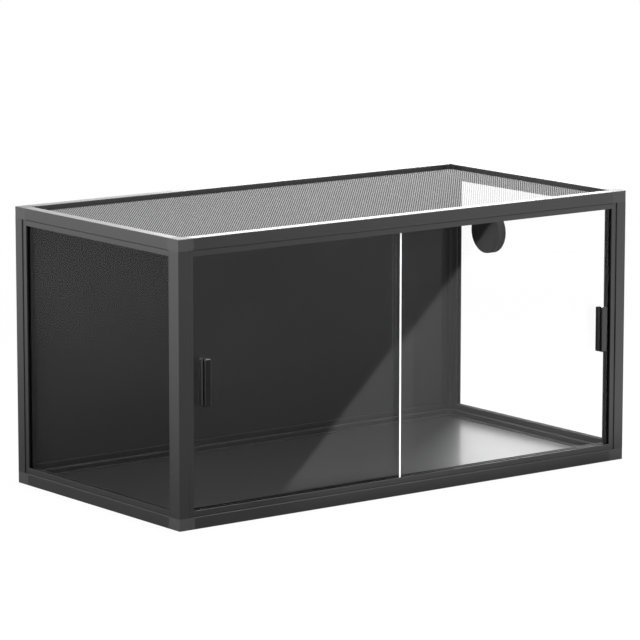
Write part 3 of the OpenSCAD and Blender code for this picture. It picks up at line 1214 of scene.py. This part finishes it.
@dataclass
class Studio:
    """Pale floor, plain soft light and the camera. Pairs of numbers bound a smooth step."""

    camera_place: Point = (-5.04881, -6.605926, 1.76824)
    azimuth: float = -37.317
    elevation: float = 9.792
    roll: float = 0.029
    lens: float = 218.783
    sensor_width: float = 36.0
    clip_end: float = 200.0
    inside_depth: float = 2.5
    inside_loss: float = 0.75
    even_level: float = 0.6
    mirrored_level: float = 0.9
    view_x: float = 0.61
    view_y: float = 0.79
    band_edge: tuple[float, float] = (0.3, 0.9)
    band_top: tuple[float, float] = (0.3, 0.6)
    front_edge: tuple[float, float] = (-0.2, 0.0)
    behind_gain: float = 1.5
    left_gain: float = 0.4
    floor_half: float = 30.0
    floor_drop: float = 0.0005
    floor_colour: Colour = (0.8, 0.8, 0.8)
    floor_level: float = 0.2
    # The fields below set painted light and shade on the floor for what mirrors it.
    line_x: float = 0.175
    line_y: float = 0.466
    line_slope: float = 0.966
    line_edge: tuple[float, float] = (-0.012, 0.012)
    painted_light_start: float = -0.6
    painted_shadow_front: tuple[float, float] = (-0.55, -0.33)
    painted_light_gain: float = 0.92
    left_edge: tuple[float, float] = (-2.6, -0.75)
    left_painted_light: float = 1.0
    shadow_share: float = 0.1
    shadow_edge: tuple[float, float] = (1.2, 3.2)

    def camera(self) -> None:
        """Puts the camera at the photograph's angle."""
        azimuth, elevation = math.radians(self.azimuth), math.radians(self.elevation)
        back = np.array(
            [
                math.sin(azimuth) * math.cos(elevation),
                -math.cos(azimuth) * math.cos(elevation),
                math.sin(elevation),
            ]
        )
        right = np.cross(-back, [0, 0, 1.0])
        right /= np.linalg.norm(right)
        up = np.cross(right, -back)
        turn = math.radians(self.roll)
        right, up = (
            math.cos(turn) * right + math.sin(turn) * up,
            -math.sin(turn) * right + math.cos(turn) * up,
        )
        data = bpy.data.cameras.new("camera")
        data.lens = self.lens
        data.sensor_width = self.sensor_width
        data.clip_end = self.clip_end
        made = put("camera", data, self.camera_place, [right, up, back])
        bpy.context.scene.camera = made

    def world(self) -> None:
        """White behind the object, a plain even level for its light.

        What mirrors it sees a brighter low band behind the object, and less of the front
        from inside the enclosure.
        """
        made = bpy.data.worlds.new("studio")
        bpy.context.scene.world = made
        tree = ShaderTree(made)
        seen, glossy, inside = tree.rays(self.inside_depth)
        direction = tree.node("ShaderNodeTexCoord")
        split = tree.node("ShaderNodeSeparateXYZ", inputs={0: direction.outputs["Generated"]})
        x, y, z = (tree.value(split, k) for k in range(3))
        behind = (y * self.view_y + x * self.view_x).step(*self.band_edge)
        left = (y * self.view_y - x * self.view_x).step(*self.band_edge)
        low_down = 1 - z.step(*self.band_top)
        in_front = 1 - y.step(*self.front_edge)
        level = self.mirrored_level + behind * low_down * self.behind_gain
        level = level + left * low_down * self.left_gain
        level = level * (1 - inside * in_front * self.inside_loss)
        even = tree.glow("ShaderNodeBackground", self.even_level)
        mirrored = tree.glow("ShaderNodeBackground", level)
        light = tree.mix_shader(glossy, even, mirrored)
        white = tree.glow("ShaderNodeBackground", 1.0)
        tree.finish(tree.mix_shader(seen, light, white), "ShaderNodeOutputWorld")

    def floor(self) -> None:
        """A wide pale floor that shows white and keeps a soft shadow.

        What mirrors it sees an emission with painted light and shade: a painted pool of light
        before the doors on one side of the line y = -line_y - line_slope * (x + line_x), fading
        to a painted shadow near the object, a second painted pool far to the left, and painted
        shade when it is seen from inside the enclosure.
        """
        mesh = bpy.data.meshes.new("floor")
        corners = np.array([(-1, -1), (1, -1), (1, 1), (-1, 1)]) * self.floor_half
        mesh.from_pydata([(x, y, -self.floor_drop) for x, y in corners], [], [(0, 1, 2, 3)])
        made = bpy.data.objects.new("floor", mesh)
        bpy.context.scene.collection.objects.link(made)
        material = bpy.data.materials.new("pale_floor")
        tree = ShaderTree(material)
        seen, glossy, inside = tree.rays(self.inside_depth)
        x, y, _ = tree.place()
        # painted light for what mirrors the floor: a pool on one side of the line, fading to a
        # painted shadow near the object, and a second pool far to the left
        side = (y + self.line_y + (x + self.line_x) * self.line_slope).step(*self.line_edge)
        front = 1 - y.step(*self.painted_shadow_front)
        left = 1 - x.step(*self.left_edge)
        level = self.floor_level + side * front * (x > self.painted_light_start) * self.painted_light_gain
        level = level + left * self.left_painted_light
        # painted shade: darker for what mirrors the floor from inside the enclosure
        level = level * (1 - inside * self.inside_loss)
        matte = tree.node("ShaderNodeBsdfDiffuse", inputs={"Color": rgba(self.floor_colour)})
        white = tree.glow("ShaderNodeEmission", 1.0)
        mirrored = tree.glow("ShaderNodeEmission", level)
        far = ((x * x + y * y) ** 0.5).step(*self.shadow_edge)
        share = self.shadow_share - far * self.shadow_share
        shown = tree.mix_shader(share, white, matte)
        rest = tree.mix_shader(glossy, matte, mirrored)
        tree.finish(tree.mix_shader(seen, rest, shown))
        mesh.materials.append(material)

    def build(self) -> None:
        """Makes the whole stage."""
        self.camera()
        self.world()
        self.floor()
        for lamp in LAMPS:
            lamp.build()
        bpy.context.scene.view_settings.view_transform = "Standard"


def main() -> None:
    """Builds the stage and every sub-assembly in order."""
    logging.basicConfig(level=logging.INFO, format="%(name)s: %(message)s")
    Studio().build()
    FrameDress().dress()
    FrameBars().build()
    GlazingStrips().build()
    DoorPull("left", Body.LEFT_DOOR).build()
    DoorPull("right", Body.RIGHT_DOOR).build()
    CablePort().build()
    WireNet().build()


if __name__ == "__main__":
    main()
